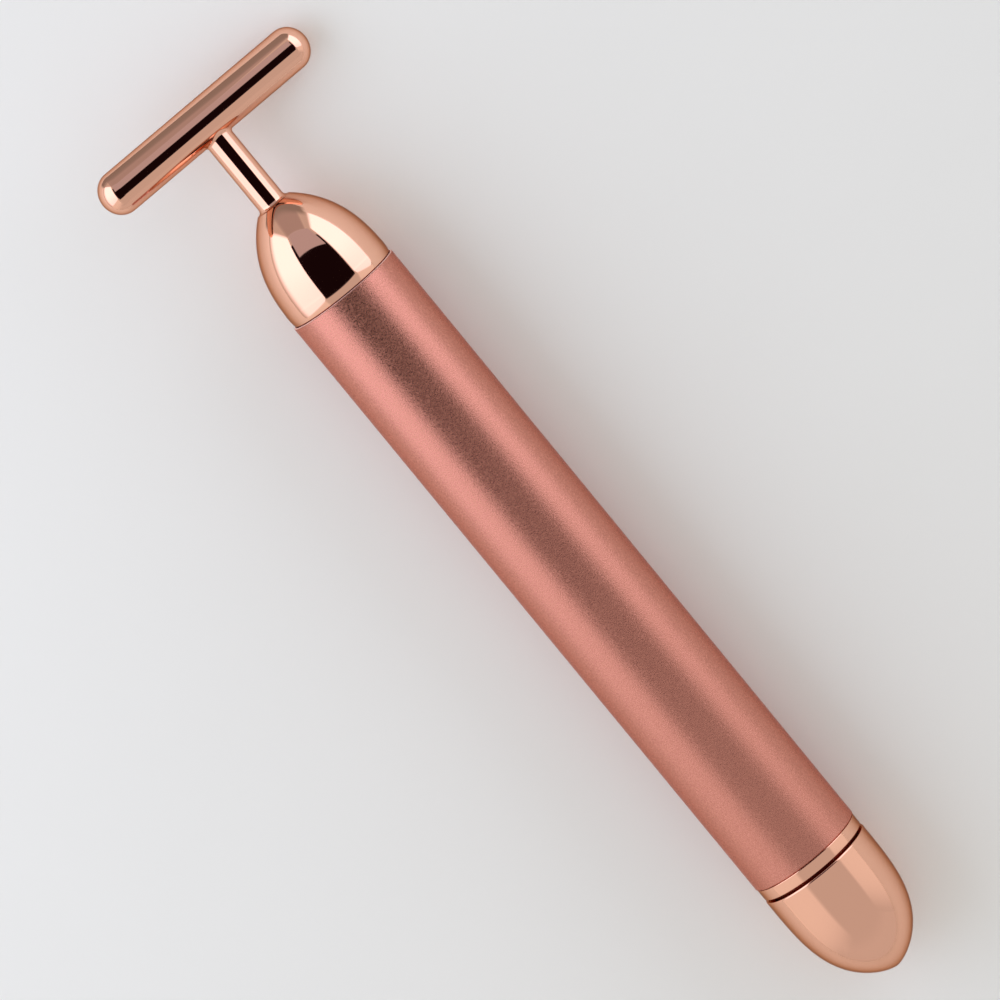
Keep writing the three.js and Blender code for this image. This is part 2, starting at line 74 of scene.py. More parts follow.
nodes = frame["nodes"]

MM = 0.001
FULL_TURN = 2 * math.pi
SHELL_SIDES = 224
SMALL_SIDES = 96
WIRE_SIDES = 16
NOSE_STEPS = 72
CAVITY_STEPS = 16
CREASE = math.radians(32)
NEARLY_STRAIGHT = math.radians(155)

# Places

tube_low, tube_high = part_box("handle_tube")
axis_height = (tube_low.z + tube_high.z) / 2
# Local x becomes +Y, local y becomes +Z and local z becomes +X.
LAY = Matrix(((0, 0, MM, tube_low.x), (MM, 0, 0, 0), (0, MM, 0, axis_height), (0, 0, 0, 1)))


def ends(node):
    """Where a CAD node starts and ends along the handle, in millimetres."""
    low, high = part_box(node)
    return (low.x - tube_low.x) / MM, (high.x - tube_low.x) / MM


def bar_roll():
    """How far the head is rolled about the handle's axis, read from the T-bar's upper tip."""
    low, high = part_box("t_bar")
    centre = (low + high) / 2
    offsets = [v.co - centre for v in nodes["t_bar"].data.vertices]
    tip = max(offsets, key=lambda offset: (round(offset.length, 6), offset.y))
    return math.atan2(tip.z, tip.y)


HEAD = LAY @ Matrix.Rotation(bar_roll(), 4, "Z")


# Geometry


def nose(base, reach, bulge, taper, start=0.0, flat=0.0, steps=NOSE_STEPS):
    """A bullet-shaped outline, from start above its base up to a tip of radius flat."""
    first = math.asin((start / reach) ** (bulge / 2))
    last = math.acos((flat / base) ** (taper / 2))
    # The rings crowd at the base, where the height grows fastest.
    crowding = 1.8
    turns = [first + (last - first) * (i / steps) ** crowding for i in range(steps + 1)]
    return [
        (base * max(0.0, math.cos(t)) ** (2 / taper), reach * math.sin(t) ** (2 / bulge))
        for t in turns
    ]


def moved(outline, place, direction=1):
    """An outline moved along the axis, and turned end for end where direction is -1."""
    points = [(radius, place + direction * height) for radius, height in outline]
    return points[::direction]


def straight(radius, first, last, steps):
    """An even row of points along a cylinder, for a thread to be cut in."""
    return [(radius, first + (last - first) * i / steps) for i in range(steps + 1)]


def arc(steps, first=0.0, last=math.pi / 2):
    """Angles from first to last in even steps, a quarter circle unless told otherwise."""
    return [first + (last - first) * i / steps for i in range(steps + 1)]


def eased(outline, easing, steps=5):
    """The outline with its corners rounded."""
    closed = outline[0][0] > 0
    longest = 0.45  # of an edge
    count = len(outline)
    points = []
    for i, corner in enumerate(outline):
        if not closed and i in (0, count - 1):
            points.append(corner)
            continue
        here = Vector(corner)
        back, ahead = Vector(outline[i - 1]) - here, Vector(outline[(i + 1) % count]) - here
        if back.length < 1e-9 or ahead.length < 1e-9 or back.angle(ahead) > NEARLY_STRAIGHT:
            points.append(corner)
            continue
        start = here + back.normalized() * min(easing, back.length * longest)
        stop = here + ahead.normalized() * min(easing, ahead.length * longest)
        for step in range(steps + 1):
            t = step / steps
            point = start * (1 - t) ** 2 + here * 2 * t * (1 - t) + stop * t * t
            points.append((point.x, point.y))
    return points


def turned(outline, sides=SHELL_SIDES, ripple=None, span=FULL_TURN):
    """Vertices and faces of a solid of revolution about z.

    The outline runs up the outside and down the inside, from the axis to the axis or once round a
    ring. ripple(turn, radius, height) gives the radius at each point. A span under a full turn
    leaves a gap, with flat ends.
    """
    closed = outline[0][0] > 1e-6
    whole = span == FULL_TURN
    columns = sides if whole else sides + 1
    vertices, rings = [], []
    for radius, height in outline:
        if radius <= 1e-6:
            rings.append([len(vertices)] * columns)
            vertices.append((0.0, 0.0, height))
            continue
        rings.append(list(range(len(vertices), len(vertices) + columns)))
        for i in range(columns):
            turn = span * i / sides + (FULL_TURN - span) / 2
            reach = ripple(turn, radius, height) if ripple else radius
            vertices.append((reach * math.cos(turn), reach * math.sin(turn), height))
    faces = []
    upper = rings[1:] + rings[:1] if closed else rings[1:]
    for below, above in zip(rings, upper):
        for i in range(sides):
            j = (i + 1) % columns
            corners = dict.fromkeys((below[i], below[j], above[j], above[i]))
            if len(corners) > 2:
                faces.append(tuple(corners))
    if not whole:
        faces += [tuple(ring[0] for ring in rings), tuple(ring[-1] for ring in reversed(rings))]
    return vertices, faces


def thread(radius, first, last, pitch, depth):
    """A ripple that cuts a right-hand thread into a cylinder of that radius between two heights.

    A negative depth cuts outwards, into the wall round a bore.
    """
    flank, root = 1.7, 0.35

    def ripple(turn, reach, height):
        if abs(reach - radius) > 1e-6 or not first < height < last:
            return reach
        phase = (height / pitch - turn / FULL_TURN) % 1
        crest = min(1.0, max(0.0, flank * (1 - abs(2 * phase - 1)) - root))
        runout = min(1.0, 2 * (height - first) / pitch, 2 * (last - height) / pitch)
        return reach - depth * (1 - crest) * runout

    return ripple


def cross_reach(turn, arm, half_width):
    """How far a cross reaches from its middle at that turn, for the recess in a screw."""
    angle = (turn + math.pi / 4) % (math.pi / 2) - math.pi / 4
    across = half_width / max(abs(math.sin(angle)), 1e-6)
    return min(arm / math.cos(angle), across)


def swept(path, radius, sides=WIRE_SIDES):
    """Vertices and faces of a round wire along a path of points."""
    path = [Vector(point) for point in path]
    normal = (path[1] - path[0]).orthogonal().normalized()
    vertices, faces = [], []
    for i, point in enumerate(path):
        tangent = (path[min(i + 1, len(path) - 1)] - path[max(i - 1, 0)]).normalized()
        normal = (normal - tangent * normal.dot(tangent)).normalized()
        side = tangent.cross(normal)
        for k in range(sides):
            turn = FULL_TURN * k / sides
            vertices.append(point + radius * (normal * math.cos(turn) + side * math.sin(turn)))
    for i in range(len(path) - 1):
        for k in range(sides):
            a, b = i * sides + k, i * sides + (k + 1) % sides
            faces.append((a, b, b + sides, a + sides))
    last = (len(path) - 1) * sides
    faces += [tuple(reversed(range(sides))), tuple(range(last, last + sides))]
    return vertices, faces


# Materials


class Finish:
    """A material of one principled shader, with the noise that its colour and relief need."""

    def __init__(self, name, color, roughness, metallic=0.0, **sockets):
        self.material = bpy.data.materials.new(name)
        self.material.use_nodes = True
        self.tree = self.material.node_tree
        self.shader = self.tree.nodes["Principled BSDF"]
        self.shader.inputs["Base Color"].default_value = (*color, 1)
        self.shader.inputs["Roughness"].default_value = roughness
        self.shader.inputs["Metallic"].default_value = metallic
        for socket, value in sockets.items():
            self.shader.inputs[socket.replace("_", " ")].default_value = value
        self.color, self.roughness = color, roughness
        self.bump = None
        coordinates = self.tree.nodes.new("ShaderNodeTexCoord")
        self.place = coordinates.outputs["Object"]

    def noise(self, grain_mm, stretch=(1, 1, 1), detail=3.0):
        """Noise whose features are that many millimetres across."""
        nodes_, links = self.tree.nodes, self.tree.links
        mapping = nodes_.new("ShaderNodeMapping")
        mapping.inputs["Scale"].default_value = [s / (grain_mm * MM) for s in stretch]
        links.new(self.place, mapping.inputs["Vector"])
        noise = nodes_.new("ShaderNodeTexNoise")
        noise.inputs["Scale"].default_value = 1.0
        noise.inputs["Detail"].default_value = detail
        links.new(mapping.outputs["Vector"], noise.inputs["Vector"])
        return noise.outputs["Fac"]

    def ranged(self, source, low, high):
        """The noise's usual span, stretched to run from low to high."""
        node = self.tree.nodes.new("ShaderNodeMapRange")
        node.inputs["From Min"].default_value = 0.3
        node.inputs["From Max"].default_value = 0.7
        node.inputs["To Min"].default_value = low
        node.inputs["To Max"].default_value = high
        self.tree.links.new(source, node.inputs["Value"])
        return node.outputs["Result"]

    def uneven_gloss(self, spread, grain_mm, stretch=(1, 1, 1)):
        """Varies the roughness that far either way, or the other way round for a minus."""
        low, high = self.roughness - spread, self.roughness + spread
        value = self.ranged(self.noise(grain_mm, stretch), low, high)
        self.tree.links.new(value, self.shader.inputs["Roughness"])
        return self

    def mottled(self, other, grain_mm, share, stretch=(1, 1, 1)):
        """Blends some of another colour into the base colour."""
        mix = self.tree.nodes.new("ShaderNodeMix")
        mix.data_type = "RGBA"
        mix.inputs["A"].default_value = (*self.color, 1)
        mix.inputs["B"].default_value = (*other, 1)
        value = self.ranged(self.noise(grain_mm, stretch), 0.0, share)
        self.tree.links.new(value, mix.inputs["Factor"])
        self.tree.links.new(mix.outputs["Result"], self.shader.inputs["Base Color"])
        return self

    def relief(self, depth_mm, grain_mm, stretch=(1, 1, 1), strength=1.0, detail=3.0):
        """Adds bumps of that depth and grain to the ones that it has."""
        bump = self.tree.nodes.new("ShaderNodeBump")
        bump.inputs["Strength"].default_value = strength
        bump.inputs["Distance"].default_value = depth_mm * MM
        self.tree.links.new(self.noise(grain_mm, stretch, detail), bump.inputs["Height"])
        if self.bump:
            self.tree.links.new(self.bump.outputs["Normal"], bump.inputs["Normal"])
        self.tree.links.new(bump.outputs["Normal"], self.shader.inputs["Normal"])
        self.bump = bump
        return self


ROSE_GOLD = (0.93, 0.50, 0.35)
TURNING = (1, 0.04, 0.04)  # features drawn out round the handle's axis

finishes = {
    "anodised_tube": Finish(
        "anodised_rose", (0.69, 0.282, 0.203), 0.235, 1.0, Specular_Tint=(0.8, 0.55, 0.5, 1)
    )
    .mottled((0.596, 0.227, 0.172), 0.27, 1.0)
    .uneven_gloss(-0.205, 0.27)
    .relief(0.032, 0.12, strength=1.0, detail=1.0),
    "rose_gold_plating": Finish(
        "rose_gold", ROSE_GOLD, 0.045, 1.0, Specular_Tint=(0.45, 0.29, 0.22, 1)
    )
    .uneven_gloss(0.012, 3.0)
    .relief(0.004, 5.0, strength=0.3, detail=1.0),
    "brass": Finish("turned_brass", (0.78, 0.55, 0.25), 0.24, 1.0)
    .mottled((0.66, 0.43, 0.20), 2.0, 0.7)
    .uneven_gloss(0.07, 0.15, TURNING)
    .relief(0.01, 0.12, TURNING, strength=0.4),
    "steel": Finish("nickel_plated_steel", (0.60, 0.60, 0.59), 0.26, 1.0)
    .uneven_gloss(0.07, 0.6)
    .relief(0.006, 0.2, strength=0.3),
    "white_plastic": Finish("natural_nylon", (0.80, 0.78, 0.72), 0.45, Subsurface_Weight=0.08)
    .mottled((0.74, 0.71, 0.63), 3.0, 0.6)
    .relief(0.01, 0.3, strength=0.4),
    "grey_plastic": Finish("moulded_grey", (0.20, 0.21, 0.225), 0.42)
    .mottled((0.17, 0.18, 0.19), 1.5, 0.8)
    .uneven_gloss(0.06, 0.8)
    .relief(0.012, 0.22, strength=0.5),
    "black_rubber": Finish("black_silicone", (0.018, 0.018, 0.018), 0.55)
    .uneven_gloss(0.08, 0.5)
    .relief(0.008, 0.15, strength=0.5),
    "board_green": Finish("circuit_board", (0.02, 0.11, 0.045), 0.32, Coat_Weight=0.4)
    .mottled((0.05, 0.22, 0.09), 0.5, 0.9, (1, 1, 0.12))
    .relief(0.01, 0.4, (1, 1, 0.15), strength=0.4),
    "cell_label": Finish("shrink_sleeve", (0.035, 0.042, 0.055), 0.3, Coat_Weight=0.6)
    .mottled((0.06, 0.068, 0.085), 4.0, 0.7)
    .relief(0.02, 2.5, strength=0.3),
    "red_lead": Finish("red_insulation", (0.42, 0.025, 0.015), 0.38)
    .mottled((0.30, 0.015, 0.01), 1.0, 0.8)
    .relief(0.01, 0.5, strength=0.3),
    "black_lead": Finish("black_insulation", (0.015, 0.015, 0.015), 0.38)
    .mottled((0.03, 0.03, 0.03), 1.0, 0.8)
    .relief(0.01, 0.5, strength=0.3),
}
slot_of = {s["node"]: s["material_slot"] for s in frame["record"]["subparts"]}


def show(name, solid, node, place=LAY, replaces=True, slot=None):
    """A piece that rides with a CAD node's body, and stands for the node unless told otherwise."""
    vertices, faces = solid
    mesh = bpy.data.meshes.new(name)
    mesh.from_pydata(vertices, [], faces)
    mesh.transform(place)
    mesh.polygons.foreach_set("use_smooth", [True] * len(mesh.polygons))
    mesh.set_sharp_from_angle(angle=CREASE)
    mesh.update()
    obj = bpy.data.objects.new(name, mesh)
    bpy.context.scene.collection.objects.link(obj)
    slot = slot or slot_of[node]
    mesh.materials.append(finishes[slot].material)
    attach(obj, nodes[node]["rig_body"])
    if replaces:
        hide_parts(node)
    return obj


for node_name, node in nodes.items():
    node.data.materials.clear()
    node.data.materials.append(finishes[slot_of[node_name]].material)

# Handle: the tube, its tail ring and the cell inside

SEAT = 0.05  # left between pieces that lie against each other
OVERRUN = 0.6  # past the end of its cylinder, so that a thread keeps its depth up to there
HEAD_PITCH, TAIL_PITCH = 2.0, 1.5
TUBE_THREAD_DEPTH, HOUSING_THREAD_DEPTH, TAIL_THREAD_DEPTH = 0.24, 0.27, 0.2
STEPS_A_MM = 7  # along a thread
SOCKET_STEPS, SCREW_STEPS = 46, 42  # the same over their whole length
TUBE_RADIUS, TUBE_BORE, TUBE_EDGE, SOCKET_RADIUS = 8.75, 7.85, 0.15, 8.15
SOCKET_BELOW_DOME, THREAD_BELOW_DOME, SOCKET_PAST_RING = 6.65, 6.05, 0.5

tube_head = ends("handle_tube")[1]
ring_tail, ring_top = ends("tail_ring")
housing_rear, neck_top = ends("motor_housing")
dome_foot, dome_top = ends("head_dome")
socket_floor = dome_foot - SOCKET_BELOW_DOME
thread_first, thread_last = dome_foot - THREAD_BELOW_DOME, dome_foot - SEAT
tail_socket = ring_top + SOCKET_PAST_RING

tube_outline = (
    [(TUBE_RADIUS, TUBE_EDGE), (TUBE_RADIUS, tube_head - TUBE_EDGE)]
    + [(TUBE_RADIUS - TUBE_EDGE, tube_head)]
    + straight(SOCKET_RADIUS, tube_head, socket_floor, SOCKET_STEPS)
    + [(TUBE_BORE, socket_floor), (TUBE_BORE, tail_socket), (SOCKET_RADIUS, tail_socket)]
    + [(SOCKET_RADIUS, 0), (TUBE_RADIUS - TUBE_EDGE, 0)]
)
tube_thread = thread(
    SOCKET_RADIUS, socket_floor, tube_head + OVERRUN, HEAD_PITCH, -TUBE_THREAD_DEPTH
)
show("anodised_handle", turned(tube_outline, ripple=tube_thread), "handle_tube")

RING_RADIUS, RING_SPIGOT, RING_BORE, RING_RELIEF = 8.65, 8.10, 7.45, 2.4
band = -SEAT - ring_tail
ring_outline = [
    (RING_RADIUS, ring_tail),
    (RING_RADIUS, ring_tail + band),
    (RING_SPIGOT, ring_tail + band),
    (RING_SPIGOT, ring_top),
] + straight(RING_BORE, ring_top, ring_tail, round((ring_top - ring_tail) * STEPS_A_MM))
ring_thread = thread(
    RING_BORE, ring_tail + RING_RELIEF, ring_top + OVERRUN, TAIL_PITCH, -TAIL_THREAD_DEPTH
)
ring_solid = turned(eased(ring_outline, easing=0.12), ripple=ring_thread)
show("plated_tail_ring", ring_solid, "tail_ring")

CELL_RADIUS, CRIMP_BORE, FOOT_RECESS = 7.15, 6.85, 0.6
SHOULDER_RADIUS, FACE_RADIUS, FACE_DEPTH = 6.2, 6.0, 0.25
NUB_RADIUS, NUB_FOOT_RADIUS, NUB_FLANGE_RADIUS, NUB_STEP = 2.75, 3.7, 3.9, 0.1
LINER_RADIUS, LINER_BORE = 7.75, 7.35
can_foot, can_top = ends("battery_can")
nub_foot, nub_top = ends("battery_positive_cap")
liner_foot, liner_top = ends("battery_liner")
can_outline = [
    (0, can_foot + FOOT_RECESS),
    (CRIMP_BORE, can_foot + FOOT_RECESS),
    (CRIMP_BORE, can_foot),
    (CELL_RADIUS, can_foot),
    (CELL_RADIUS, can_top),
    (SHOULDER_RADIUS, can_top),
    (FACE_RADIUS, can_top - FACE_DEPTH),
    (0, can_top - FACE_DEPTH),
]
show("cell_can", turned(eased(can_outline, easing=0.4)), "battery_can")
nub_outline = [
    (0, nub_foot - FACE_DEPTH),
    (NUB_FLANGE_RADIUS, nub_foot - FACE_DEPTH),
    (NUB_FOOT_RADIUS, nub_foot),
    (NUB_RADIUS, nub_foot + NUB_STEP),
    (NUB_RADIUS, nub_top),
    (0, nub_top),
]
nub_solid = turned(eased(nub_outline, easing=0.25), SMALL_SIDES)
show("cell_nub", nub_solid, "battery_positive_cap")
liner_outline = [(LINER_RADIUS, liner_foot), (LINER_RADIUS, liner_top)]
liner_outline += [(LINER_BORE, liner_top), (LINER_BORE, liner_foot)]
show("cell_sleeve", turned(eased(liner_outline, easing=0.1)), "battery_liner")

# Tail: the cap, its screwed core, the seal and the contact spring

tail_tip, cap_rim = ends("tail_cap")
core_foot, core_top = ends("tail_core")
cap_shape = {"bulge": 3.57, "taper": 1.455}
cap_length = cap_rim - tail_tip
CAP_WALL, CORE_RADIUS, CORE_HOLD = 1.4, 7.37, 6.6
cap_outside = nose(TUBE_RADIUS, cap_length, **cap_shape)
cap_cavity = nose(
    TUBE_RADIUS - CAP_WALL, cap_length - CAP_WALL, **cap_shape, start=CORE_HOLD + SEAT,
    steps=CAVITY_STEPS,
)
MOUTH_WIDENING, MOUTH_TAPER = 0.15, 0.2
mouth = [(CORE_RADIUS + SEAT, CORE_HOLD + SEAT), (CORE_RADIUS + SEAT, MOUTH_TAPER)]
mouth.append((CORE_RADIUS + MOUTH_WIDENING, 0))
RIM = 0.22
rim = [
    (TUBE_RADIUS - RIM + RIM * math.cos(t), RIM + RIM * math.sin(t))
    for t in arc(6, -math.pi / 2, 0)[:-1]
]
cap_shell = cap_cavity[::-1] + mouth + rim + [p for p in cap_outside if p[1] > RIM]
show("plated_tail_cap", turned(moved(cap_shell, cap_rim, -1)), "tail_cap")

SEAL_GROOVE = 1.1  # wide, at the tail and in the head
SEAL_FROM_RIM, TAIL_SEAL_FLOOR = 0.3, 6.47
SKIRT_BORE, CORE_UNDERSIDE, CORE_RELIEF = 5.87, -1.2, 1.3
POCKET_RADIUS, POCKET_FLOOR, SCREW_HOLE, SCREW_HOLE_FLOOR = 5.95, 2.0, 1.0, 0.15
groove_foot = ring_tail + SEAL_FROM_RIM
core_outline = (
    [(0, CORE_UNDERSIDE), (SKIRT_BORE, CORE_UNDERSIDE), (SKIRT_BORE, core_foot)]
    + [(CORE_RADIUS, core_foot), (CORE_RADIUS, groove_foot), (TAIL_SEAL_FLOOR, groove_foot)]
    + [(TAIL_SEAL_FLOOR, groove_foot + SEAL_GROOVE)]
    + straight(CORE_RADIUS, groove_foot + SEAL_GROOVE, core_top, SCREW_STEPS)
    + [(POCKET_RADIUS, core_top), (POCKET_RADIUS, POCKET_FLOOR), (SCREW_HOLE, POCKET_FLOOR)]
    + [(SCREW_HOLE, SCREW_HOLE_FLOOR), (0, SCREW_HOLE_FLOOR)]
)
core_thread = thread(
    CORE_RADIUS, groove_foot + CORE_RELIEF, core_top + OVERRUN, TAIL_PITCH, TAIL_THREAD_DEPTH
)
core_solid = turned(eased(core_outline, easing=0.06), ripple=core_thread)
show("screwed_core", core_solid, "tail_core")

# Painted shade: a dark copper-red metal standing in for the shade and copper reflections deep in
# the tail groove and in the seam under the dome.
painted_gap_shade = Finish("painted_gap_shade_copper", (0.16, 0.022, 0.012), 0.4, 1.0)
painted_gap_shade.uneven_gloss(0.1, 0.4).relief(0.01, 0.2, strength=0.4)


def thin_band(name, outer, inner, first, last, node, finish, slot):
    """A narrow ring of another colour on a node's skin, such as painted shade on the floor of a
    groove and a painted highlight on an edge.

    Its outer radius is given at its first and at its last end.
    """
    outline = [(outer[0], first), (outer[1], last), (inner, last), (inner, first)]
    ring = show(name, turned(outline), node, replaces=False, slot=slot)
    ring.data.materials[0] = finish.material


# Painted shade: a dark ring on the core's floor in the tail groove, where the real groove lies in
# shade.
GROOVE_SKIN, GROOVE_UNDER = 7.43, 7.3
thin_band("painted_groove_shade", (GROOVE_SKIN, GROOVE_SKIN), GROOVE_UNDER, cap_rim, groove_foot,
          "tail_core", painted_gap_shade, "rose_gold_plating")


def cord_ring(outer, cord, middle):
    """A rubber cord closed into a ring of that outer radius."""
    half = cord / 2
    turns = [FULL_TURN * i / WIRE_SIDES for i in range(WIRE_SIDES)]
    return turned([(outer - half + half * math.cos(t), middle + half * math.sin(t)) for t in turns])


TAIL_CORD = 0.86
tail_seal = cord_ring(RING_BORE - SEAT, TAIL_CORD, sum(ends("tail_o_ring")) / 2)
show("tail_seal", tail_seal, "tail_o_ring")

WIRE, SPRING_TURNS, SPRING_FOOT, SPRING_TIP, STEPS_A_TURN = 0.35, 5, 5.1, 2.2, 40
spring_foot, spring_tip = ends("contact_spring")
coil = []
for i in range(SPRING_TURNS * STEPS_A_TURN + 1):
    share = i / (SPRING_TURNS * STEPS_A_TURN)
    turn = FULL_TURN * SPRING_TURNS * share
    wide = SPRING_FOOT + (SPRING_TIP - SPRING_FOOT) * share
    rise = spring_foot + WIRE + (spring_tip - spring_foot - 2 * WIRE) * share
    coil.append((wide * math.cos(turn), wide * math.sin(turn), rise))
spring = show("coil_contact", swept(coil, WIRE, sides=12), "contact_spring")
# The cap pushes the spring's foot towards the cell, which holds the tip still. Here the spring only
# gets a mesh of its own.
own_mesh(spring)

# Head: the dome, the stem, the T-bar and the gasket under the dome

DOME_RADIUS, DOME_REACH, DOME_WALL = 8.58, 17.05, 1.3
DOME_SOCKET, DOME_SOCKET_WALL, CEILING_RADIUS = 4.5, 1.38, 3.5
dome_shape = {"bulge": 2.713, "taper": 1.194}
STEM_RADIUS, FLARE, STEM_THREAD = 2.1, 0.7, 1.5
stem_hole = STEM_THREAD + SEAT
flat = STEM_RADIUS + FLARE
outside = nose(DOME_RADIUS, DOME_REACH, **dome_shape, flat=flat, start=0.15)
ceiling = ends("stem_washer")[1] + SEAT - tube_head
cavity = nose(
    DOME_RADIUS - DOME_WALL, DOME_REACH - DOME_WALL, **dome_shape, start=DOME_SOCKET,
    flat=CEILING_RADIUS, steps=CAVITY_STEPS,
)
SEAM_GAP, DOME_RIM = 0.09, 0.10
BUFFED_LENGTH, BUFFED_DEPTH, BUFFED_CURVE, BUFFED_RINGS, BUFFED_STEP = 1.7, 0.15, 2.6, 18, 0.1


def buffed(points):
    """The dome's outside, whose polished edge turns in a little before the seam."""
    return [
        (r - BUFFED_DEPTH * max(0.0, 1 - (h - SEAM_GAP) / BUFFED_LENGTH) ** BUFFED_CURVE, h)
        for r, h in points
    ]


foot_rises = [SEAM_GAP + DOME_RIM + BUFFED_STEP * i for i in range(BUFFED_RINGS)]
outside = buffed(
    [(DOME_RADIUS, h) for h in foot_rises] + [p for p in outside if p[1] > foot_rises[-1]]
)
rim_radius = outside[0][0]
dome_rim = [
    (rim_radius - DOME_RIM + DOME_RIM * math.cos(t), SEAM_GAP + DOME_RIM + DOME_RIM * math.sin(t))
    for t in arc(7, -math.pi / 2, 0)[:-1]
]
dome_shell = (
    dome_rim
    + outside
    + [(stem_hole, outside[-1][1]), (stem_hole, ceiling), (CEILING_RADIUS, ceiling)]
    + cavity[::-1][1:]
    + [(DOME_RADIUS - DOME_SOCKET_WALL, h) for h in (DOME_SOCKET, SEAM_GAP)]
)
show("plated_dome", turned(moved(dome_shell, tube_head)), "head_dome", HEAD)

# Painted shade: a dark copper-red ring in the gap between the tube and the dome, standing in for
# the shade and copper reflections in that gap.
SEAM_SKIN, SEAM_UNDER, SEAM_CLEAR = 8.43, 8.41, 0.01
thin_band("painted_seam_shade", (SEAM_SKIN, SEAM_SKIN), SEAM_UNDER, tube_head + SEAM_CLEAR,
          tube_head + SEAM_GAP, "head_dome", painted_gap_shade, "rose_gold_plating")
# Painted highlight: a lighter pink copy of the anodised tube's colour, laid on the chamfer at the
# tube's head end so that it shows as a bright line.
painted_edge_highlight = Finish("painted_highlight_on_chamfer", (0.92, 0.58, 0.50), 0.5, 1.0).uneven_gloss(0.1, 0.3)
painted_edge_highlight.relief(0.01, 0.15, TURNING, strength=0.4)
# It lies on the slope of the tube's edge.
EDGE_WIDTH, EDGE_PROUD, EDGE_DEEP = 0.10, 0.003, 0.2
slope = (TUBE_RADIUS - 0.047, TUBE_RADIUS - 0.147)
thin_band("painted_highlight_band", slope, TUBE_RADIUS - EDGE_DEEP, tube_head - EDGE_WIDTH,
          tube_head + EDGE_PROUD, "handle_tube", painted_edge_highlight, "anodised_tube")

BAR_RADIUS, BAR_LENGTH, BAR_END, FILLET = 3.25, 37.2, 3.0, 0.4
bar_axis = ends("t_bar")[1] - BAR_RADIUS
stem_end = ends("stem")[0]
bar_end = [
    (BAR_RADIUS * math.cos(t), BAR_LENGTH / 2 - BAR_END + BAR_END * math.sin(t)) for t in arc(24)
]
bar_outline = [(r, -h) for r, h in bar_end[::-1]] + bar_end
ACROSS = HEAD @ Matrix.Translation((0, 0, bar_axis)) @ Matrix.Rotation(math.pi / 2, 4, "Y")
show("plated_t_bar", turned(bar_outline), "t_bar", ACROSS)


def saddled_stem():
    """The stem, whose upper end flares into the round underside of the bar."""
    foot = dome_top
    turns = arc(10)
    rows = len(turns)
    # Past the flare, its end is sunk into the bar.
    rim_in_bar, middle_in_bar = 0.5, 0.8
    low = [(STEM_RADIUS + FLARE - FLARE * math.sin(t), foot + FLARE - FLARE * math.cos(t))
           for t in turns]
    outline = [(0, stem_end), (STEM_THREAD, stem_end), (STEM_THREAD, foot), *low]
    high_first = len(outline)
    # The heights of these rings are set below, where the bar's skin is known.
    outline += [(STEM_RADIUS + FILLET * (1 - math.cos(t)), row) for row, t in enumerate(turns)]
    outline += [(STEM_RADIUS + FILLET, rows), (0, rows)]
    vertices, faces = turned(outline, SHELL_SIDES)
    first = 1 + SHELL_SIDES * (high_first - 1)
    for row in range(rows + 1):
        below_skin = FILLET * (1 - math.sin(turns[row])) if row < rows else -rim_in_bar
        for k in range(SHELL_SIDES):
            index = first + row * SHELL_SIDES + k
            x, y, _ = vertices[index]
            # The bar lies along x, so its underside falls away with y.
            skin = bar_axis - math.sqrt(BAR_RADIUS**2 - y**2)
            vertices[index] = (x, y, skin - below_skin)
    vertices[-1] = (0, 0, bar_axis - BAR_RADIUS + middle_in_bar)
    return vertices, faces


show("plated_stem", saddled_stem(), "stem", HEAD)

GASKET_RADIUS, GASKET_BORE, HEAD_CORD = 8.4, 8.22, 0.8
gasket_rear = ends("head_gasket")[0]
gasket_front = tube_head + SEAM_GAP - SEAM_CLEAR
gasket_outline = [(GASKET_RADIUS, gasket_rear), (GASKET_RADIUS, gasket_front)]
gasket_outline += [(GASKET_BORE, gasket_front), (GASKET_BORE, gasket_rear)]
show("gasket", turned(gasket_outline), "head_gasket")
head_seal = cord_ring(TUBE_BORE - SEAT, HEAD_CORD, sum(ends("head_o_ring")) / 2)
show("head_seal", head_seal, "head_o_ring")

# Motor housing, seen when the head is off: its thread, its split ground ring and its board

HOUSING_RADIUS, THREAD_RADIUS, NECK_RADIUS, BAY_RADIUS, MOTOR_BORE = 7.70, 8.07, 7.15, 6.6, 6.05
SPLIT_GROOVE, HEAD_SEAL_FLOOR, SEAL_FROM_THREAD, NECK_BORE, WALL_HOLE = 7.32, 6.92, 2.2, 6.0, 2.05
SCREW_HEAD_STANDS = 0.75  # above the front wall
ring_rear, ring_front = ends("ground_spring")
seal_front = thread_first - SEAL_FROM_THREAD
seal_rear = seal_front - SEAL_GROOVE
motor_rear = ends("motor_end_cap")[0]
wall_rear, wall_front = ends("motor_bearing")[0], ends("motor_screw_1")[1] - SCREW_HEAD_STANDS
housing_outline = (
    [(HOUSING_RADIUS, housing_rear), (HOUSING_RADIUS, ring_rear - SEAT)]
    + [(SPLIT_GROOVE, ring_rear - SEAT), (SPLIT_GROOVE, ring_front + SEAT)]
    + [(HOUSING_RADIUS, ring_front + SEAT), (HOUSING_RADIUS, seal_rear)]
    + [(HEAD_SEAL_FLOOR, seal_rear), (HEAD_SEAL_FLOOR, seal_front)]
    + [(HOUSING_RADIUS, seal_front), (HOUSING_RADIUS, thread_first)]
    + straight(THREAD_RADIUS, thread_first, thread_last, SCREW_STEPS)
    + [(NECK_RADIUS, thread_last), (NECK_RADIUS, neck_top), (NECK_BORE, neck_top)]
    + [(NECK_BORE, wall_front), (WALL_HOLE, wall_front), (WALL_HOLE, wall_rear)]
    + [(MOTOR_BORE, wall_rear), (MOTOR_BORE, motor_rear)]
    + [(BAY_RADIUS, motor_rear), (BAY_RADIUS, housing_rear)]
)
housing_thread = thread(
    THREAD_RADIUS, thread_first - OVERRUN, thread_last + OVERRUN, HEAD_PITCH, HOUSING_THREAD_DEPTH
)
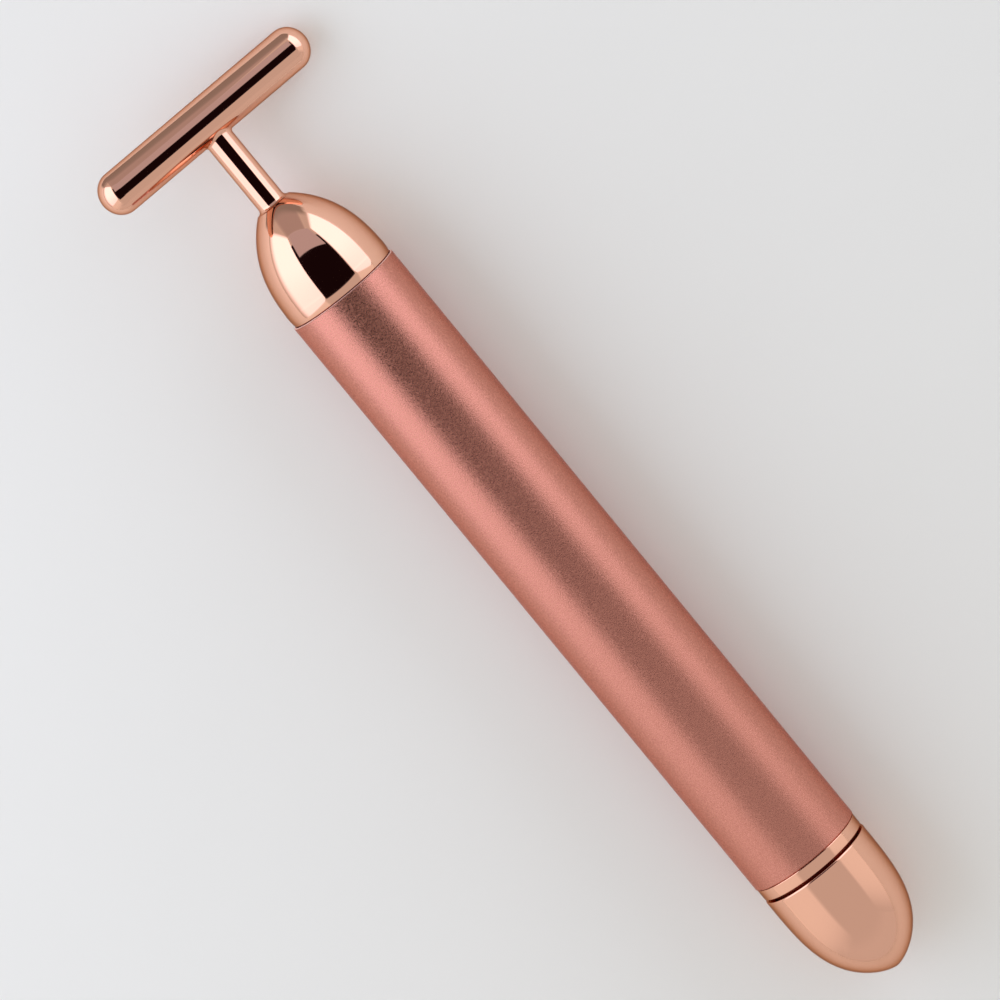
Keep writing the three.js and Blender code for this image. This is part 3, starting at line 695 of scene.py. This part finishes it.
housing_solid = turned(eased(housing_outline, easing=0.08, steps=3), ripple=housing_thread)
show("moulded_housing", housing_solid, "motor_housing", HEAD)

SPLIT_RADIUS, SPLIT_BORE, SPLIT_GAP = 7.77, 7.37, 0.6
split_outline = [(SPLIT_RADIUS, ring_rear), (SPLIT_RADIUS, ring_front)]
split_outline += [(SPLIT_BORE, ring_front), (SPLIT_BORE, ring_rear)]
split_ring = turned(eased(split_outline, easing=0.1), span=FULL_TURN - SPLIT_GAP)
show("split_ground_ring", split_ring, "ground_spring", HEAD)

BOARD_RADIUS, BOARD_HOLE = 7.6, 1.0
RIVET_RADIUS, RIVET_FACE, RIVET_EDGE, RIVET_SHANK = 2.2, 1.7, 0.5, 0.95
board_rear, board_front = ends("contact_board")
board_outline = [(BOARD_RADIUS, board_rear), (BOARD_RADIUS, board_front)]
board_outline += [(BOARD_HOLE, board_front), (BOARD_HOLE, board_rear)]
show("round_board", turned(eased(board_outline, easing=0.06, steps=2)), "contact_board", HEAD)
contact_rear, contact_front = ends("positive_contact")
contact_outline = [
    (0, contact_rear),
    (RIVET_FACE, contact_rear),
    (RIVET_RADIUS, contact_rear + RIVET_EDGE),
    (RIVET_RADIUS, board_rear - SEAT),
    (RIVET_SHANK, board_rear - SEAT),
    (RIVET_SHANK, contact_front),
    (0, contact_front),
]
contact_solid = turned(eased(contact_outline, easing=0.15), SMALL_SIDES)
show("rivet_contact", contact_solid, "positive_contact", HEAD)

COPPER, BOSS_CIRCLE = 0.04, 5.0
CONTACT_PAD, SCREW_PAD, SCREW_PAD_HOLE = 3.1, 2.0, 0.9


def pad(outer, inner, centre_x):
    """A flat ring of copper on the board's rear face."""
    face = board_rear - COPPER
    outline = [(outer, face), (outer, board_rear), (inner, board_rear), (inner, face)]
    vertices, faces = turned(outline, SMALL_SIDES)
    return [(x + centre_x, y, z) for x, y, z in vertices], faces


pads = {
    "contact_pad": pad(CONTACT_PAD, BOARD_HOLE, 0),
    "screw_pad_1": pad(SCREW_PAD, SCREW_PAD_HOLE, -BOSS_CIRCLE),
    "screw_pad_2": pad(SCREW_PAD, SCREW_PAD_HOLE, BOSS_CIRCLE),
}
for name, solid in pads.items():
    show(name, solid, "contact_board", HEAD, replaces=False, slot="brass")


def screw_solid(radius, length, head_radius, head_height):
    """A pan-head screw with a cross recess, its head above z = 0 and its shank below."""
    rim, recess_edge, recess_floor = head_height * 0.55, head_height * 0.35, head_height * 0.3
    tip = radius * 0.6
    crown = (0.3, 0.6, 0.85)  # radians up the head's curve
    arm, half_width = 0.62 * head_radius, 0.13 * head_radius
    mouth_ring, floor_ring = 1.0, 0.6  # the rings of the recess, as shares of the cross
    outline = [(0, -length), (tip, -length), (radius, -length + tip), (radius, 0)]
    outline += [(head_radius, 0), (head_radius, rim)]
    outline += [
        (head_radius * math.cos(t), rim + (head_height - rim) * math.sin(t)) for t in crown
    ]
    outline += [(mouth_ring, head_height), (floor_ring, recess_edge), (0, recess_floor)]

    def ripple(turn, reach, height):
        is_recess = height > 0 and reach in (mouth_ring, floor_ring)
        return reach * cross_reach(turn, arm, half_width) if is_recess else reach

    return turned(outline, SMALL_SIDES, ripple)


screw_shape = screw_solid(radius=0.8, length=5.0, head_radius=1.5, head_height=1.1)
for name, node in (("board_fixing_1", "board_screw_1"), ("board_fixing_2", "board_screw_2")):
    low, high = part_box(node)
    centre = (low + high) / 2
    seat_x = (board_rear - SEAT) * MM + tube_low.x
    across = Matrix.Translation((seat_x, centre.y, centre.z)) @ Matrix.Rotation(math.pi, 4, "Z")
    stand = across @ Matrix(((0, 0, MM, 0), (MM, 0, 0, 0), (0, MM, 0, 0), (0, 0, 0, 1)))
    show(name, screw_shape, node, stand)

# Stage: floor, cards, world and camera


def stage_mesh(name, vertices, material):
    """One flat face of the stage, which isn't part of the object."""
    mesh = bpy.data.meshes.new(name)
    mesh.from_pydata(vertices, [], [tuple(range(len(vertices)))])
    mesh.materials.append(material)
    obj = bpy.data.objects.new(name, mesh)
    bpy.context.scene.collection.objects.link(obj)
    return obj


def square(half, height):
    return [(x * half, y * half, height) for x, y in ((-1, -1), (1, -1), (1, 1), (-1, 1))]


FLOOR_REACH = 6.0
FLOOR_GAP = 0.00004  # it clears the tube's underside
floor_finish = Finish("pale_floor", (0.90, 0.88, 0.82), 0.7)
floor_finish.mottled((0.88, 0.86, 0.80), 40.0, 0.5)
stage_mesh("floor", square(FLOOR_REACH, -FLOOR_GAP), floor_finish.material)


def outline_shares(across, up, rounding):
    """The outline of a card in shares of its two sides, with its two left corners rounded."""
    if not rounding:
        return [(0, 0), (1, 0), (1, 1), (0, 1)]
    a, b = rounding / across.length, rounding / up.length
    turns = arc(12)
    upper = [(a - a * math.sin(turn), 1 - b + b * math.cos(turn)) for turn in turns]
    lower = [(a - a * math.cos(turn), b - b * math.sin(turn)) for turn in turns]
    return [(1, 0), (1, 1)] + upper + lower


def card(name, corner, across, up, color, fades, lit=True, tail_share=1.0, rounding=0.0):
    """A light or dark card that fades out over the given widths: left, right, lower, upper.

    It starts at a corner and spans two vectors, in metres. Mirrors show it, the camera doesn't, and
    only a lit one lights anything else. Its left end, on the tail's side, may be dimmer, and that
    end's corners may be rounded.
    """
    dimmed_share = 0.4  # of its length
    corner, across, up = Vector(corner), Vector(across), Vector(up)
    material = bpy.data.materials.new(name)
    material.use_nodes = True
    tree = material.node_tree
    tree.nodes.remove(tree.nodes["Principled BSDF"])
    place = tree.nodes.new("ShaderNodeTexCoord").outputs["UV"]
    split = tree.nodes.new("ShaderNodeSeparateXYZ")
    tree.links.new(place, split.inputs["Vector"])
    cover = None
    edges = (("X", 0, 1, across), ("X", 1, -1, across), ("Y", 0, 1, up), ("Y", 1, -1, up))
    for (axis, edge, inward, side), fade in zip(edges, fades):
        ramp = tree.nodes.new("ShaderNodeMapRange")
        ramp.interpolation_type = "SMOOTHSTEP"
        ramp.inputs["From Min"].default_value = edge
        ramp.inputs["From Max"].default_value = edge + inward * fade / side.length
        tree.links.new(split.outputs[axis], ramp.inputs["Value"])
        if cover is None:
            cover = ramp.outputs["Result"]
            continue
        both = tree.nodes.new("ShaderNodeMath")
        both.operation = "MULTIPLY"
        tree.links.new(cover, both.inputs[0])
        tree.links.new(ramp.outputs["Result"], both.inputs[1])
        cover = both.outputs["Value"]
    glow = tree.nodes.new("ShaderNodeEmission")
    glow.inputs["Color"].default_value = (*color, 1)
    if tail_share < 1:
        dimmer = tree.nodes.new("ShaderNodeMapRange")
        dimmer.interpolation_type = "SMOOTHSTEP"
        dimmer.inputs["From Max"].default_value = dimmed_share
        dimmer.inputs["To Min"].default_value = tail_share
        tree.links.new(split.outputs["X"], dimmer.inputs["Value"])
        tree.links.new(dimmer.outputs["Result"], glow.inputs["Strength"])
    mix = tree.nodes.new("ShaderNodeMixShader")
    tree.links.new(cover, mix.inputs["Fac"])
    tree.links.new(tree.nodes.new("ShaderNodeBsdfTransparent").outputs["BSDF"], mix.inputs[1])
    tree.links.new(glow.outputs["Emission"], mix.inputs[2])
    tree.links.new(mix.outputs["Shader"], tree.nodes["Material Output"].inputs["Surface"])
    shares = outline_shares(across, up, rounding)
    obj = stage_mesh(name, [corner + across * a + up * b for a, b in shares], material)
    uv = obj.data.uv_layers.new(name="card")
    for loop, share in zip(uv.data, shares):
        loop.uv = share
    obj.visible_camera = False
    obj.visible_shadow = False
    obj.visible_diffuse = obj.visible_transmission = lit


def grey(level):
    return (level, level, level)


# The camera looks down through a dark opening between two side softboxes. A dark hood, a board and
# two flags are over the head and past it, where the dome and the T-bar mirror them. The fills go on
# where the softboxes end, and the backdrop stands behind the tail.
ROOF, HOOD = 0.40, 0.125
LEDGE = HOOD - 0.002  # the board and the flag past the head end just under the hood
SOFTBOX, CORNER = (1.75, 1.85, 2.18), 0.11
SIDE, FILL_SIDE = 0.44, 0.443
LEFT_SLANT, RIGHT_SLANT = (0.04, -0.27, ROOF), (0.04, 0.01, ROOF)
card("opening", (-0.04, -0.42, ROOF), (0.24, 0, 0), (0, 0.6, 0), (0.032, 0.002, 0.04),
     (0.02, 0.015, 0.02, 0.03), lit=False)
card("hood", (0.022, -0.125, HOOD), (0.145, 0, 0), (0, 0.18, 0), (0.008, 0.003, 0.004),
     (0.006, 0.006, 0.004, 0.004), lit=False)
card("board", (0.113, -0.108, LEDGE), (0.10, 0, 0), (0, 0.148, 0), (0.50, 0.50, 0.58),
     (0.003, 0.002, 0.004, 0.004), lit=False)
card("head_flag", (0.2115, -0.092, 0), (0, 0.15, 0), (0, 0, LEDGE), (0.42, 0.40, 0.42),
     (0.014, 0.025, 0.003, 0.002), lit=False)
card("edge_flag", (0.105, -0.045, 0), (0, 0.09, 0), (0, 0, 0.024), grey(0.28),
     (0.01, 0.01, 0.001, 0.012), lit=False)
card("left_softbox", (-0.09, SIDE, 0), (0.69, 0, 0), LEFT_SLANT, SOFTBOX,
     (0.03, 0.1, 0.14, 0.02), tail_share=0.8, rounding=CORNER)
card("right_softbox", (-0.09, -SIDE, 0), (0.69, 0, 0), RIGHT_SLANT, SOFTBOX,
     (0.03, 0.1, 0.01, 0.03), tail_share=0.8, rounding=CORNER)
for name, side, slant in (("left", FILL_SIDE, LEFT_SLANT), ("right", -FILL_SIDE, RIGHT_SLANT)):
    card(f"{name}_fill", (-0.45, side, 0), (0.39, 0, 0), slant, grey(0.88), (0.3, 0.02, 0.01, 0.07))
card("tail_backdrop", (-0.5, -0.6, 0), (0, 1.2, 0), (0, 0, 0.5), grey(0.64), (0.1, 0.1, 0.003, 0.3))

world = bpy.data.worlds.new("studio")
bpy.context.scene.world = world
world.use_nodes = True
background = world.node_tree.nodes["Background"]
background.inputs["Color"].default_value = (*grey(0.60), 1)

PHOTO_SIDE = 1000  # pixels
FOCAL_PIXELS = 8000
SENSOR = 36.0
NEAREST, FARTHEST = 0.05, 100
LEAN_X, LEAN_Y, TWIST = math.radians(7.96), math.radians(10.17), math.radians(129.41)
AIM = Vector((0.00833, 0.00174, axis_height))
DISTANCE = 1.1198

back = Vector((
    math.sin(LEAN_X),
    -math.cos(LEAN_X) * math.sin(LEAN_Y),
    math.cos(LEAN_X) * math.cos(LEAN_Y),
))
along = (Vector((1, 0, 0)) - back * back.x).normalized()
beside = back.cross(along)
right = along * math.cos(TWIST) - beside * math.sin(TWIST)
upward = along * math.sin(TWIST) + beside * math.cos(TWIST)
camera_data = bpy.data.cameras.new("camera")
camera_data.sensor_width = SENSOR
camera_data.lens = SENSOR * FOCAL_PIXELS / PHOTO_SIDE
camera_data.clip_start, camera_data.clip_end = NEAREST, FARTHEST
camera = bpy.data.objects.new("camera", camera_data)
bpy.context.scene.collection.objects.link(camera)
facing = Matrix((right, upward, back)).transposed().to_4x4()
camera.matrix_world = Matrix.Translation(AIM + back * DISTANCE) @ facing
bpy.context.scene.camera = camera

bpy.context.scene.view_settings.view_transform = "Standard"
